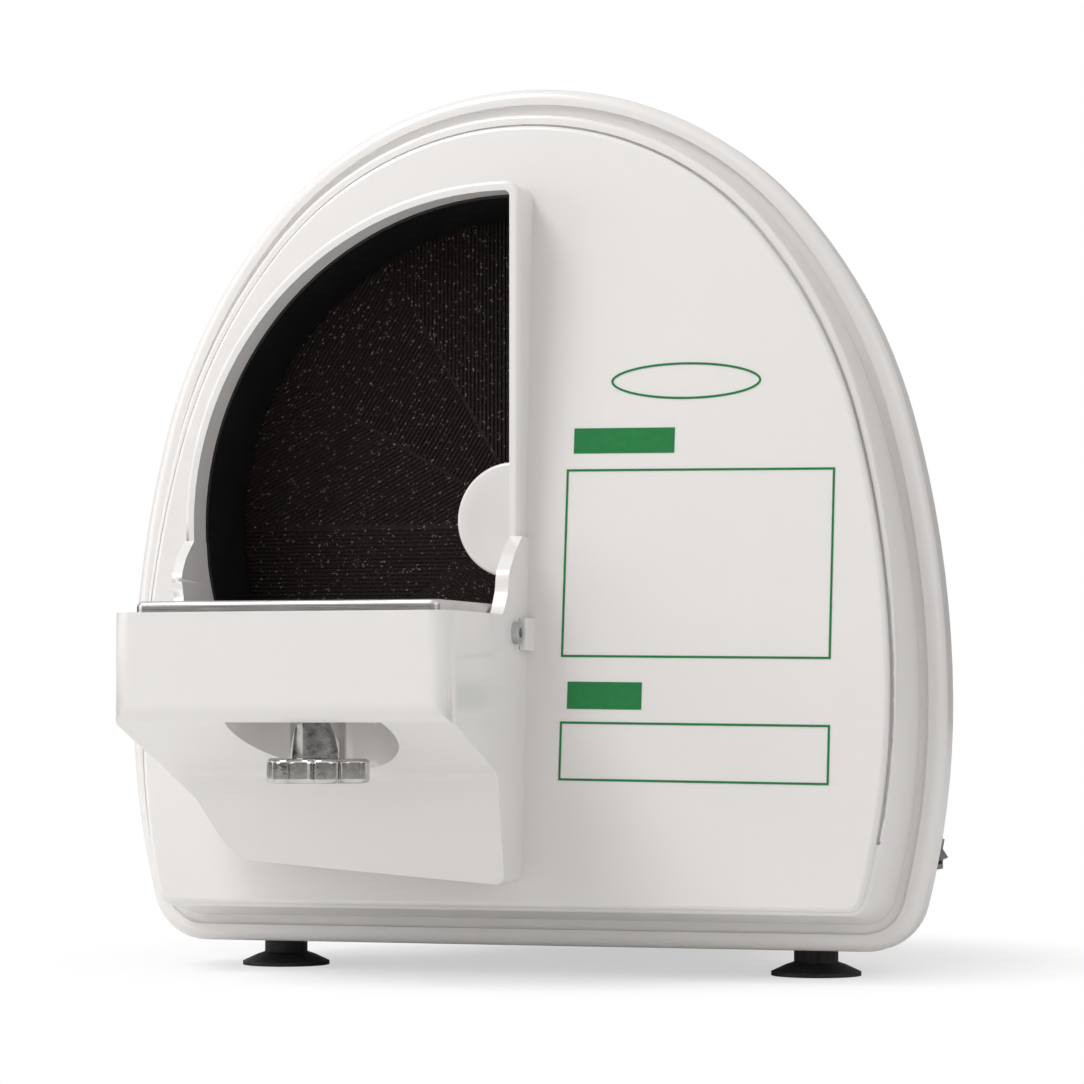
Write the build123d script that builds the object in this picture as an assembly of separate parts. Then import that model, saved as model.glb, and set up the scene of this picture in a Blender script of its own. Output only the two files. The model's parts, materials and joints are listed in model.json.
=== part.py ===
"""Dental model trimmer: an egg-shaped bench machine with a wet abrasive disc and a tilting work table.

Frame: millimetres, +Z up, the machine faces -Y. The origin is on the bench, under the middle of the
machine's outer box. Depths along Y are stated from the casing's rim, the widest band of the egg.
"""
from build123d import *
import math
import os

# Overall sizes
overall_length = 470.0
casing_width = 352.0
casing_top = 367.0
foot_height = 11.5
wall = 4.0

# Egg outline of the casing, as arcs that meet without a corner
crown_radius = 152.0
crown_angle = 50.0
shoulder_angle = 75.0
widest_height = 112.0
flank_radius = 330.0
base_corner = 24.0

# Front casing, from its rim band to the leaning face
rim_band = 16.0
rim_round = 5.0
bead_width = 7.0
valley_depth = 1.8
valley_inset = 11.0
terrace_taper = 9.0
terrace_step = 3.6
terrace_round = 2.0
face_inset = 17.5
face_edge_round = 2.2
face_top_depth = 11.9
face_lean = 4.0
seam_gap = 1.2
pad_groove_width = 1.1
pad_groove_depth = 1.6

# Grinding window and its frame
axis_height = 186.3
window_radius = 133.5
window_right = 3.9
frame_wall = 4.2
frame_front_depth = 33.5
frame_edge_round = 2.0
frame_foot_height = 178.7
frame_corner = 2.5
collar_rear_depth = 11.0
opening_foot = 58.0

# Rear casing and the hood over the motor
rear_band = 6.0
rear_inset = 1.5
rear_depth = 112.0
rear_shrink = 24.0
rear_round = 12.0
hood_rear = 323.0
hood_half_width = 94.0
hood_top = 292.0
hood_round = 20.0
hood_wall = 3.0
flange_width = 9.0
flange_thickness = 3.0
slot_width = 4.5
slot_pitch = 11.0

# Wheel chamber
chamber_rear = 34.0
chamber_wall = 4.2
seal_radius = 14.0
seal_length = 8.0

# Spindle and disc
disc_radius = 129.0
disc_front = 9.8
abrasive_thickness = 2.4
groove_depth = 0.9
groove_width = 1.4
groove_pitch = 6.0
sector_count = 12
sector_land = 3.0
carrier_thickness = 6.0
cap_radius = 23.8
cap_front = -17.0
cap_wall = 2.5
shaft_radius = 9.0
running_gap = 0.05
ring_front = -20.5
ring_rear = 8.4
ring_lip_radius = 127.5

# Tray and work table
table_reach = 127.0
tray_left = -130.4
tray_right = 9.4
tray_wall = 3.6
tray_rim = 146.5
tray_lip = 105.6
tray_lip_round = 10.0
tray_corner_round = 9.0
chute_top_depth = 66.0
chute_top_height = 83.2
chute_foot_depth = 57.0
chute_foot_height = 48.0
chute_shoulder = 83.2
chute_left = -102.0
ear_top = frame_foot_height
table_top = 151.0
table_sheet = 1.5
table_left = -122.7
tongue_left = -118.5
table_right = 3.0
table_front = 121.0
table_disc_gap = 2.0
table_skirt = 7.0
table_corner_round = 4.0
table_tilt_down = 8.0
table_tilt_up = 5.0
pivot_depth = 44.0
pivot_height = 139.5
pivot_screw_radius = 2.5
pivot_head_radius = 4.5
pivot_head_height = 2.6

# Table adjuster
knob_x = -52.0
knob_depth = 104.0
knob_radius = 21.0
knob_foot = 80.0
knob_thickness = 9.6
knob_lobes = 6
knob_hub_radius = 11.0
adjuster_radius = 4.0
bush_radius = 8.0
bush_top = 119.5
screw_top = 137.5
nut_foot = 129.0
pocket_half_width = 33.0
pocket_front_depth = 121.5
pocket_middle_depth = 112.0
pocket_reach = 42.0
pocket_ceiling = 105.5
glide_radius = 7.0
glide_dome = 14.0
glide_gap = 0.3

# Motor
motor_radius = 70.0
fin_depth = 4.0
fin_count = 24
motor_front = 98.0
motor_rear = 236.0
bell_length = 16.0
bearing_radius = 20.0
bell_wall = 5.0
fan_radius = 58.0
fan_front = 246.0
fan_length = 14.0
cowl_wall = 2.5
cowl_rear = 286.0

# Feet
foot_x = 116.0
front_foot_depth = 30.0
rear_foot_x = 46.0
rear_foot_depth = 286.0
cup_radius = 18.5
neck_radius = 9.1
stud_radius = 4.0

half_width = casing_width / 2
rim_y = table_reach - overall_length / 2


def at(depth):
    """Y of a depth that is stated from the rim, positive towards the rear."""
    return rim_y + depth


def solve_two(a, b, c, d, e, f):
    """Solves a*u + b*v = c and d*u + e*v = f."""
    det = a * e - b * d
    return (c * e - b * f) / det, (a * f - c * d) / det


def egg_edges(half, top, bottom, widest, crown, corner, flank, inset):
    """Right half of an egg outline, as arcs from the crown to the base, moved inwards by inset."""
    a1, a2 = math.radians(crown_angle), math.radians(shoulder_angle)
    s1, c1, s2, c2 = math.sin(a1), math.cos(a1), math.sin(a2), math.cos(a2)
    crown_end = (crown * s1, top - crown + crown * c1)
    shoulder, side = solve_two(
        s2 - s1, 1 - s2, half - crown_end[0],
        c1 - c2, c2, crown_end[1] - widest,
    )
    centre2 = (crown_end[0] - shoulder * s1, crown_end[1] - shoulder * c1)
    centre3 = (half - side, widest)
    centre4 = (half - flank, widest)
    corner_z = bottom + corner
    corner_x = centre4[0] + math.sqrt((flank - corner) ** 2 - (widest - corner_z) ** 2)
    low = math.degrees(math.atan2(widest - corner_z, corner_x - centre4[0]))
    arcs = [
        ((0, top - crown), crown, 90, 90 - crown_angle),
        (centre2, shoulder, 90 - crown_angle, 90 - shoulder_angle),
        (centre3, side, 90 - shoulder_angle, 0),
        (centre4, flank, 0, -low),
        ((corner_x, corner_z), corner, -low, -90),
    ]
    return [(c, r - inset, start, end) for c, r, start, end in arcs], corner_x, bottom + inset


def egg_face(arcs, corner_x, base_z):
    """The closed outline made of those arcs, their mirror images and the flat base."""
    edges = []
    for centre, radius, start, end in arcs:
        edges.append(CenterArc(centre, radius, start, end - start))
        edges.append(CenterArc((-centre[0], centre[1]), radius, 180 - start, start - end))
    edges.append(Line((-corner_x, base_z), (corner_x, base_z)))
    return make_face(Wire(edges).edges())


def casing_face(inset):
    """The casing's egg outline, moved inwards by inset."""
    return egg_face(*egg_edges(half_width, casing_top, foot_height, widest_height,
                               crown_radius, base_corner, flank_radius, inset))


def hood_face(inset):
    """The outline of the motor hood at the rear, moved inwards by inset."""
    return egg_face(*egg_edges(hood_half_width, hood_top, foot_height, widest_height,
                               hood_half_width * 0.9, base_corner, flank_radius * 1.5, inset))


def front_plane(depth):
    """Upright plane at a depth, its local axes along X and Z, facing the front."""
    return Plane(origin=(0, at(depth), 0), x_dir=(1, 0, 0), z_dir=(0, -1, 0))


def slab(face, front, rear):
    """A face in X and Z, thickened from the depth front to the depth rear."""
    return extrude(front_plane(rear) * face, amount=rear - front)


def cylinder_y(radius, front, rear, x=0.0, z=axis_height):
    """A round bar along Y."""
    return slab(Pos(x, z) * Circle(radius), front, rear)


def cylinder_x(radius, x_low, x_high, depth, z):
    """A round bar along X."""
    plane = Plane(origin=(x_low, at(depth), z), x_dir=(0, 1, 0), z_dir=(1, 0, 0))
    return extrude(plane * Circle(radius), amount=x_high - x_low)


def cylinder_z(radius, z_low, z_high, x, depth):
    """A round bar along Z."""
    return extrude(Pos(x, at(depth), z_low) * Circle(radius), amount=z_high - z_low)


def block(x_low, x_high, front, rear, z_low, z_high):
    """A box between stated sides."""
    size = (x_high - x_low, rear - front, z_high - z_low)
    middle = ((x_low + x_high) / 2, at((front + rear) / 2), (z_low + z_high) / 2)
    return Pos(*middle) * Box(*size)


def face_depth(z, behind=0.0):
    """Depth of the leaning face at a height, or of a plane that lies behind it."""
    return -face_top_depth - (casing_top - face_inset - z) * math.tan(math.radians(face_lean)) + behind


def behind_face(behind=0.0):
    """A large block that fills everything behind the leaning face."""
    top, low, far = casing_top + 60, -60.0, 200.0
    points = [(at(face_depth(low, behind)), low), (at(far), low),
              (at(far), top), (at(face_depth(top, behind)), top)]
    plane = Plane(origin=(-300, 0, 0), x_dir=(0, 1, 0), z_dir=(1, 0, 0))
    return extrude(plane * make_face(Polyline(*points, close=True).edges()), amount=600)


def window_face(grow):
    """The window above its foot: a quarter of a disc and more, cut off upright on the right."""
    radius, right = window_radius + grow, window_right + grow
    low = frame_foot_height
    keep = Pos((right - 200) / 2, low + 100) * Rectangle(right + 200, 200)
    face = (Pos(0, axis_height) * Circle(radius)) & keep
    top_corner = max(face.vertices(), key=lambda v: v.X + v.Y)
    return fillet(top_corner, frame_corner + grow)


nodes = {}


def edges_near(shape, y_low, y_high):
    """Edges whose every point lies between two depths."""
    found = []
    for edge in shape.edges():
        box = edge.bounding_box()
        if box.min.Y >= at(y_low) - 1e-3 and box.max.Y <= at(y_high) + 1e-3:
            found.append(edge)
    return found


def edges_on_face(shape, behind):
    """Edges that lie in the leaning face's plane, or in one behind it."""
    found = []
    for edge in shape.edges():
        points = [edge.position_at(t) for t in (0.0, 0.5, 1.0)]
        if all(abs(p.Y - at(face_depth(p.Z, behind))) < 0.01 for p in points):
            found.append(edge)
    return found


def tapered(face, depth, amount, taper):
    """A face in X and Z, drawn out towards the front from a depth while it narrows."""
    return extrude(front_plane(depth) * face, amount=amount, taper=taper)


def one_solid(shape):
    """The largest solid of a shape."""
    return max(shape.solids(), key=lambda s: s.volume)


# Front casing: rim band, valley, flank and leaning face, hollowed to one wall thickness
band = slab(casing_face(0), 0, rim_band)
band = fillet(edges_near(band, 0, 0), rim_round)
band -= slab(casing_face(bead_width), -1, valley_depth)
flank = tapered(casing_face(valley_inset), valley_depth, 60, terrace_taper) & behind_face(terrace_step)
flank = fillet(edges_on_face(flank, terrace_step), terrace_round)
pad = slab(casing_face(face_inset), -60, valley_depth + 1) & behind_face(0)
pad = fillet(edges_on_face(pad, 0), face_edge_round)
front_casing = band + flank + pad
groove = slab(casing_face(face_inset - pad_groove_width) - casing_face(face_inset), -60, 0)
groove &= block(-200, 200, -60, 0, widest_height / 2, 400)
front_casing -= groove - behind_face(terrace_step + pad_groove_depth)

hollow = slab(casing_face(wall), valley_depth + wall, rim_band + 1)
hollow += (tapered(casing_face(valley_inset + wall), valley_depth + wall, 60, terrace_taper)
           & behind_face(terrace_step + wall))
hollow += slab(casing_face(face_inset + wall), -60, valley_depth + wall) & behind_face(wall)
front_casing -= hollow

# Window frame, which stands proud of the face, and the collar that runs inwards round the disc
frame = slab(window_face(frame_wall), -frame_front_depth, 0)
frame = fillet(
    [e for e in edges_near(frame, -frame_front_depth, -frame_front_depth)
     if e.center().Z > frame_foot_height + 1],
    frame_edge_round,
)
collar = cylinder_y(window_radius + frame_wall, -60, collar_rear_depth) & behind_face(wall / 2)
front_casing += frame + collar
front_casing -= slab(window_face(0), -60, collar_rear_depth + 1)
bore = cylinder_y(window_radius, -60, collar_rear_depth + 1)
front_casing -= bore & behind_face(wall)
tray_inner_left = tray_left + tray_wall
tray_inner_right = tray_right - tray_wall
front_casing -= bore & block(-window_radius, window_right, -60, 0, opening_foot, frame_foot_height + 1)
nodes["front_casing"] = one_solid(front_casing)

# Rear casing: a band that follows the rim, a tapering body and a tongue that plugs into the front casing
rear_front = rim_band + seam_gap


def rear_outline(depth, inset):
    """The rear casing's egg at a depth: it shrinks towards the rear but keeps its flat base."""
    share = max(0, (depth - rear_front - rear_band) / (rear_depth - rear_front - rear_band))
    shrink = rear_inset + rear_shrink * share
    arcs = egg_edges(half_width - shrink, casing_top - shrink, foot_height + rear_inset,
                     widest_height, crown_radius - shrink, base_corner, flank_radius, inset)
    return front_plane(depth) * egg_face(*arcs)


body_front = rear_front + rear_band
rear_casing = loft([rear_outline(d, 0) for d in (rear_front, body_front, rear_depth)], ruled=True)
rear_casing = fillet(edges_near(rear_casing, rear_depth, rear_depth), rear_round)
rear_casing += slab(casing_face(wall), rim_band - 5, rear_front + 1)
rear_wall = 2 * wall - rear_inset
rear_casing -= loft([rear_outline(d, rear_wall) for d in (rim_band - 6, body_front, rear_depth - wall)],
                    ruled=True)
rear_casing -= slab(hood_face(hood_wall), rear_depth - 20, rear_depth + 1)

# Motor hood: a smaller egg behind the casing, with a flange, side vents and holes for what passes through
hood = slab(hood_face(0), rear_depth, hood_rear)
hood = fillet(edges_near(hood, hood_rear, hood_rear), hood_round)
hood_inner = slab(hood_face(hood_wall), rear_depth - 1, hood_rear - hood_wall)
hood_inner = fillet(edges_near(hood_inner, hood_rear - hood_wall, hood_rear - hood_wall),
                    hood_round - hood_wall)
flange = slab(hood_face(-flange_width), rear_depth, rear_depth + flange_thickness)
flange = flange & block(-200, 200, 0, 400, foot_height, 400)
hood = hood + flange - hood_inner
slot_count = 9
slot_middle = 210.0
slot_low, slot_high = 120.0, 214.0
for i in range(slot_count):
    depth = slot_middle + (i - (slot_count - 1) / 2) * slot_pitch
    hood -= block(-200, 200, depth - slot_width / 2, depth + slot_width / 2, slot_low, slot_high)

# Grille over the fan, let into the hood's rear wall
grille_radius = fan_radius + 6
grille_hole = cylinder_y(grille_radius, hood_rear - hood_wall - 1, hood_rear + 1)
hood -= grille_hole
grille = cylinder_y(grille_radius, hood_rear - hood_wall, hood_rear)
grille += cylinder_y(grille_radius + 4, hood_rear, hood_rear + 2.5)
for i in range(-5, 6):
    height = axis_height + i * slot_pitch
    half_length = math.sqrt((grille_radius - 5) ** 2 - (i * slot_pitch) ** 2)
    grille -= block(-half_length, half_length, hood_rear - 20, hood_rear + 20,
                    height - slot_width / 2, height + slot_width / 2)
nodes["fan_grille"] = grille

# Wheel chamber: a drum behind the collar, with a seal boss and a drain at the lowest point
drum_radius = window_radius + frame_wall
chamber = cylinder_y(drum_radius, collar_rear_depth, chamber_rear)
chamber -= cylinder_y(window_radius, collar_rear_depth - 1, chamber_rear - chamber_wall)
chamber += cylinder_y(seal_radius + 4, chamber_rear - chamber_wall - 4, chamber_rear + 5)
chamber -= cylinder_y(seal_radius, chamber_rear - chamber_wall - 5, chamber_rear + 1)
chamber -= cylinder_y(shaft_radius + 2, chamber_rear - 20, chamber_rear + 10)
drain_depth = (collar_rear_depth + chamber_rear - chamber_wall) / 2
drain_radius = 8.0
drain_wall = 1.5
spigot_radius = 10.0
drain_height = foot_height + 2 * wall + 14.5
chamber -= cylinder_z(drain_radius, drain_height, axis_height - 100, 0, drain_depth)
nodes["wheel_chamber"] = one_solid(chamber)
seal_front = chamber_rear - chamber_wall - 4 + 1
seal = cylinder_y(seal_radius, seal_front, seal_front + seal_length)
seal -= cylinder_y(shaft_radius + running_gap, seal_front - 1, seal_front + seal_length + 1)
nodes["shaft_seal"] = seal

# Drain pipe: down from the chamber, then back and out under the hood
spigot_out = overall_length - table_reach
pipe = cylinder_z(drain_radius + drain_wall, drain_height, axis_height - drum_radius + 6, 0, drain_depth)
pipe -= cylinder_y(drum_radius, 0, 60)
pipe += cylinder_y(drain_radius + drain_wall, drain_depth, spigot_out, 0, drain_height)
pipe += Pos(0, at(drain_depth), drain_height) * Sphere(drain_radius + drain_wall)
pipe -= cylinder_z(drain_radius, drain_height, axis_height, 0, drain_depth)
pipe -= cylinder_y(drain_radius, drain_depth, spigot_out + 1, 0, drain_height)
pipe -= Pos(0, at(drain_depth), drain_height) * Sphere(drain_radius)
pipe += cylinder_y(spigot_radius, hood_rear, spigot_out, 0, drain_height)
pipe -= cylinder_y(drain_radius, drain_depth, spigot_out + 1, 0, drain_height)
nodes["drain_pipe"] = one_solid(pipe)
hood -= cylinder_y(drain_radius + drain_wall, hood_rear - 40, hood_rear + 1, 0, drain_height)

# Splash ring: a black cone in the collar that covers the disc's rim
ring_profile = [(window_radius, ring_front), (window_radius, ring_rear),
                (ring_lip_radius, ring_rear), (window_radius - 1.2, ring_front)]
ring_face = make_face(Polyline(*[(0, at(d), axis_height + r) for r, d in ring_profile], close=True).edges())
axis_y = Axis((0, 0, axis_height), (0, 1, 0))
ring_room = behind_face(wall) + slab(window_face(0), -60, collar_rear_depth)
splash_ring = revolve(ring_face, axis_y, 360) & ring_room

# Spindle: disc, carrier, bolt, cap, shaft, rotor and fan
abrasive = cylinder_y(disc_radius, disc_front, disc_front + abrasive_thickness)
carrier_front = disc_front + abrasive_thickness
carrier_rear = carrier_front + carrier_thickness
bolt_radius = 5.0
washer_radius = 13.0
disc_bore = 9.0
abrasive -= cylinder_y(disc_bore, disc_front - 1, carrier_front + 1)
sector = 360.0 / sector_count
tool = []
for k in range(sector_count):
    start = 90 + k * sector
    tilt = (90.0, 58.0, 28.0)[k % 3] + (k // 3) * 90.0
    wedge = Pos(0, axis_height) * make_face(
        (Line((0, 0), (disc_radius + 2, 0)).edges()
         + CenterArc((0, 0), disc_radius + 2, 0, sector).edges()
         + Line(((disc_radius + 2) * math.cos(math.radians(sector)),
                 (disc_radius + 2) * math.sin(math.radians(sector))), (0, 0)).edges()))
    middle = math.radians(sector / 2)
    wedge = Pos(sector_land * math.cos(middle), sector_land * math.sin(middle)) * wedge
    wedge = wedge.rotate(Axis((0, axis_height, 0), (0, 0, 1)), start)
    count = int(disc_radius / groove_pitch)
    lines = [Pos(0, axis_height) * Rot(0, 0, tilt) * Pos(0, i * groove_pitch)
             * Rectangle(2 * disc_radius + 10, groove_width) for i in range(-count, count + 1)]
    strips = Sketch() + lines
    tool.append(wedge & strips)
ring_limit = Pos(0, axis_height) * (Circle(disc_radius + 1) - Circle(cap_radius + 2))
grooves = (Sketch() + [t for t in tool]) & ring_limit
abrasive -= slab(grooves, disc_front - 1, disc_front + groove_depth)
nodes["abrasive_disc"] = one_solid(abrasive)

carrier = cylinder_y(disc_radius - 2.5, carrier_front, carrier_rear)
hub_radius = 22.0
hub_rear = seal_front - 3.5
carrier += cylinder_y(hub_radius, carrier_rear - 1, hub_rear)
carrier -= cylinder_y(shaft_radius, carrier_front - 1, hub_rear + 1)
nodes["disc_carrier"] = carrier

washer_thickness = 2.5
bolt = cylinder_y(washer_radius, disc_front - washer_thickness, disc_front)
head = Pos(0, axis_height) * RegularPolygon(8.0, 6)
bolt += slab(head, disc_front - washer_thickness - 5, disc_front - washer_thickness)
bolt += cylinder_y(bolt_radius, disc_front, disc_front + 24)
nodes["disc_bolt"] = bolt

cap = cylinder_y(cap_radius, cap_front, disc_front)
cap = fillet(edges_near(cap, cap_front, cap_front), 1.6)
dish_radius = 150.0
cap -= Pos(0, at(cap_front - dish_radius + 1.4), axis_height) * Sphere(dish_radius)
cap -= cylinder_y(cap_radius - cap_wall, cap_front + cap_wall + 0.8, disc_front + 1)
nodes["hub_cap"] = one_solid(cap)

shaft_rear = fan_front + fan_length + 2
shaft = cylinder_y(shaft_radius, disc_front, shaft_rear)
shaft -= cylinder_y(bolt_radius, disc_front - 1, disc_front + 24)
shaft += cylinder_y(shaft_radius + 1.5, chamber_rear + 12, motor_front - 6)
nodes["motor_shaft"] = shaft

# Motor: finned frame between two bells, stator, bearings, fan and cowl
frame_front = motor_front + bell_length
frame_rear = motor_rear - bell_length
fin_root = motor_radius - fin_depth
stator_outer = motor_radius - 10.0
rotor_radius = 35.4
air_gap = 0.5
ring = Circle(fin_root) + [Rot(0, 0, k * 360 / fin_count) * Pos(motor_radius - fin_depth, 0)
                           * Rectangle(2 * fin_depth, 3.0) for k in range(fin_count)]
ring = (ring & Circle(motor_radius)) - Circle(stator_outer)
nodes["motor_frame"] = slab(Pos(0, axis_height) * ring, frame_front, frame_rear)
core_front = frame_front + 12
core_rear = frame_rear - 12
stator = cylinder_y(stator_outer, core_front, core_rear)
stator += cylinder_y(stator_outer - 4, core_front - 9, core_rear + 9)
stator -= cylinder_y(rotor_radius + air_gap, core_front - 10, core_rear + 10)
nodes["stator"] = stator
rotor = cylinder_y(rotor_radius, core_front, core_rear)
rotor -= cylinder_y(shaft_radius, core_front - 1, core_rear + 1)
nodes["rotor_core"] = rotor


def bell(outer, inner):
    """A motor end bell between its closed end's depth and its open end's depth."""
    way = 1 if inner > outer else -1

    def piece(radius, start, end):
        low, high = sorted((outer + way * start, outer + way * end))
        return cylinder_y(radius, low, high)

    shape = piece(motor_radius, 0, bell_length)
    shape -= piece(motor_radius - bell_wall - 1, bell_wall, bell_length + 1)
    shape += piece(bearing_radius + 4, 1, bell_length)
    shape -= piece(bearing_radius, bell_wall, bell_length + 1)
    shape -= piece(shaft_radius + 2, -1, bell_length)
    ring_part = piece(bearing_radius, bell_wall, bell_length)
    ring_part -= piece(shaft_radius + running_gap, 0, bell_length + 1)
    return shape, ring_part


nodes["motor_front_bell"], nodes["front_bearing"] = bell(motor_front, frame_front)
nodes["motor_rear_bell"], nodes["rear_bearing"] = bell(motor_rear, frame_rear)

fan = cylinder_y(16, fan_front, fan_front + fan_length)
fan += cylinder_y(fan_radius, fan_front, fan_front + 2)
for k in range(8):
    blade = block(10, fan_radius, fan_front + 1, fan_front + fan_length,
                  axis_height - 1.2, axis_height + 1.2)
    fan += blade.rotate(Axis((0, 0, axis_height), (0, 1, 0)), k * 45)
fan -= cylinder_y(shaft_radius, fan_front - 1, fan_front + fan_length + 1)
nodes["cooling_fan"] = one_solid(fan)

cowl_radius = motor_radius + cowl_wall
cowl = cylinder_y(cowl_radius, frame_rear + 2, cowl_rear)
cowl -= cylinder_y(motor_radius, frame_rear, cowl_rear - cowl_wall)
for reach in (18.0, 32.0, 46.0):
    gap = Circle(reach + 10) - Circle(reach)
    gap -= Rectangle(200, 6) + Rectangle(6, 200)
    cowl -= slab(Pos(0, axis_height) * gap, cowl_rear - 10, cowl_rear + 1)
nodes["fan_cowl"] = one_solid(cowl)

# Base plate and the cradle that carries the motor over the drain pipe
floor_top = foot_height + 2 * wall
plate_half = 66.0
plate_front = 26.0
plate_rear = hood_rear - hood_round - 3
plate_top = floor_top + 4
base = block(-plate_half, plate_half, plate_front, plate_rear, floor_top, plate_top)
cradle_half = 56.0
cradle = block(-cradle_half, cradle_half, frame_front + 10, frame_rear - 10, plate_top, plate_top + 4)
for depth in (frame_front + 10, frame_rear - 14):
    cradle += block(-cradle_half, cradle_half, depth, depth + 4, plate_top, axis_height - 34)
cradle -= cylinder_y(motor_radius, frame_front, frame_rear)
tunnel = drain_radius + drain_wall + 2
cradle -= cylinder_y(tunnel, frame_front, frame_rear, 0, drain_height)
cradle -= block(-tunnel, tunnel, frame_front, frame_rear, plate_top - 1, drain_height)
for x in (-37.0, 37.0):
    cradle -= block(x - 13, x + 13, frame_front, frame_rear, plate_top + 16, plate_top + 52)
nodes["motor_cradle"] = one_solid(cradle)

# Feet: rubber suction cups on studs
feet = {
    "front_left": (-foot_x, front_foot_depth, foot_height + rear_inset, floor_top),
    "front_right": (foot_x, front_foot_depth, foot_height + rear_inset, floor_top),
    "rear_left": (-rear_foot_x, rear_foot_depth, foot_height, plate_top),
    "rear_right": (rear_foot_x, rear_foot_depth, foot_height, plate_top),
}
cup_floor = 4.4
for name, (x, depth, top, seat) in feet.items():
    profile = [(0, cup_floor), (0, top), (neck_radius, top), (neck_radius, 5.6), (neck_radius + 3.4, 4.4),
               (cup_radius, 1.6), (cup_radius, 0), (cup_radius - 3.5, 0), (8.0, 2.2), (0, 2.4)]
    points = [(x + r, at(depth), z) for r, z in profile]
    cup = revolve(make_face(Polyline(*points, close=True).edges()), Axis((x, at(depth), 0), (0, 0, 1)), 360)
    cup -= cylinder_z(stud_radius, cup_floor, top + 1, x, depth)
    nodes["foot_" + name] = cup
    stud = cylinder_z(stud_radius, cup_floor, seat + 9, x, depth)
    nut = Plane(origin=(x, at(depth), seat)) * RegularPolygon(7.5, 6)
    stud += extrude(nut, amount=6)
    if depth > rear_depth:
        stud += cylinder_z(stud_radius + 3, foot_height + hood_wall, floor_top, x, depth)
        base -= cylinder_z(stud_radius, 0, 60, x, depth)
        hood -= cylinder_z(stud_radius, 0, 60, x, depth)
    else:
        rear_casing -= cylinder_z(stud_radius, 0, 60, x, depth)
    nodes["foot_stud_" + name] = stud
nodes["base_plate"] = base


def side_prism(points, x_low, x_high):
    """A prism along X from points given as depth and height."""
    plane = Plane(origin=(x_low, 0, 0), x_dir=(0, 1, 0), z_dir=(1, 0, 0))
    outline = make_face(Polyline(*[(at(d), z) for d, z in points], close=True).edges())
    return extrude(plane * outline, amount=x_high - x_low)


def front_prism(points, front, rear):
    """A prism along Y from points given as X and height."""
    return slab(make_face(Polyline(*points, close=True).edges()), front, rear)


# Tray: a hopper hung on the face, with a sloping floor and a steep chute into the chamber
slope = (tray_lip - chute_top_height) / (table_reach - chute_top_depth)
side_points = [(-table_reach, 220), (-table_reach, tray_lip), (-chute_top_depth, chute_top_height),
               (-chute_foot_depth, chute_foot_height - 9), (60, chute_foot_height - 9), (60, 220)]
front_points = [(tray_left, 220), (tray_left, chute_shoulder), (tray_left + 11, 72.5), (tray_left + 16, 64),
                (tray_left + 21, 56), (chute_left, chute_foot_height), (tray_right, chute_foot_height - 9),
                (tray_right, 220)]


def rounded(face, corners):
    """A flat face with some corners rounded, each given as its place and radius."""
    for x, y, radius in corners:
        corner = min(face.vertices(), key=lambda v: math.hypot(v.X - x, v.Y - y))
        face = fillet(corner, radius)
    return face


def tray_shape(inset):
    """The tray's outer shape, or its inner one, before it is cut to the rim and the face."""
    side_face = rounded(make_face(Polyline(*[(at(d), z) for d, z in side_points], close=True).edges()),
                        [(at(-table_reach), tray_lip, tray_lip_round),
                         (at(-chute_top_depth), chute_top_height, 6.0)])
    front_face = rounded(make_face(Polyline(*front_points, close=True).edges()),
                         [(chute_left, chute_foot_height, 5.0), (tray_right, chute_foot_height - 9, 4.0)])
    top_face = rounded(make_face(Polyline((tray_left, at(-table_reach)), (tray_right, at(-table_reach)),
                                          (tray_right, at(80)), (tray_left, at(80)), close=True).edges()),
                       [(tray_left, at(-table_reach), tray_corner_round),
                        (tray_right, at(-table_reach), tray_corner_round)])
    if inset:
        side_face, front_face, top_face = [
            offset(face, amount=-inset, kind=Kind.INTERSECTION) for face in (side_face, front_face, top_face)]
    along_x = Plane(origin=(-200, 0, 0), x_dir=(0, 1, 0), z_dir=(1, 0, 0))
    return (extrude(along_x * side_face, amount=300) & slab(front_face, -160, 50)
            & extrude(top_face, amount=300))


tray = tray_shape(0) - tray_shape(tray_wall)
plan = Pos(knob_x, at(-pocket_middle_depth)) * Ellipse(pocket_half_width, pocket_reach)
plan &= Pos(knob_x, at(-pocket_front_depth) + 100) * Rectangle(200, 200)
rear_plan = Pos(knob_x, at(-pocket_middle_depth)) * Ellipse(pocket_half_width + tray_wall,
                                                            pocket_reach + tray_wall)
rear_plan &= Pos(knob_x, at(-pocket_front_depth - tray_wall) + 100) * Rectangle(200, 200)
cover = extrude(Pos(0, 0, 60) * rear_plan, amount=pocket_ceiling + tray_wall - 60)
tray += cover & tray_shape(0)
tray -= extrude(Pos(0, 0, 60) * plan, amount=pocket_ceiling - 60)
tray = tray & block(-200, 200, -160, 60, 0, tray_rim)

# Ears: the tray's sides rise beside the opening and carry the frame's feet
ear_profile = [(10, ear_top), (-frame_front_depth, ear_top), (-44, 171), (-51.5, 163), (-52.5, 156),
               (-57, 149), (-60, tray_rim - 0.5), (10, tray_rim - 0.5)]
ear_bends = [(at(-44), 171, 20.0), (at(-51.5), 163, 9.0), (at(-52.5), 156, 10.0)]
ear_plane = Plane(origin=(-200, 0, 0), x_dir=(0, 1, 0), z_dir=(1, 0, 0))
ear_side = rounded(make_face(Polyline(*[(at(d), z) for d, z in ear_profile], close=True).edges()), ear_bends)
ear_side = extrude(ear_plane * ear_side, amount=200 + tray_right)
wall_ring = Pos(0, axis_height) * (Circle(window_radius + frame_wall) - Circle(window_radius))
tray += slab(wall_ring, -100, 10) & ear_side & block(-200, 0, -100, 10, tray_rim - 0.5, ear_top)
tray += ear_side & block(window_right, tray_right, -100, 10, tray_rim - 0.5, ear_top)
tray -= behind_face(0)
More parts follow.
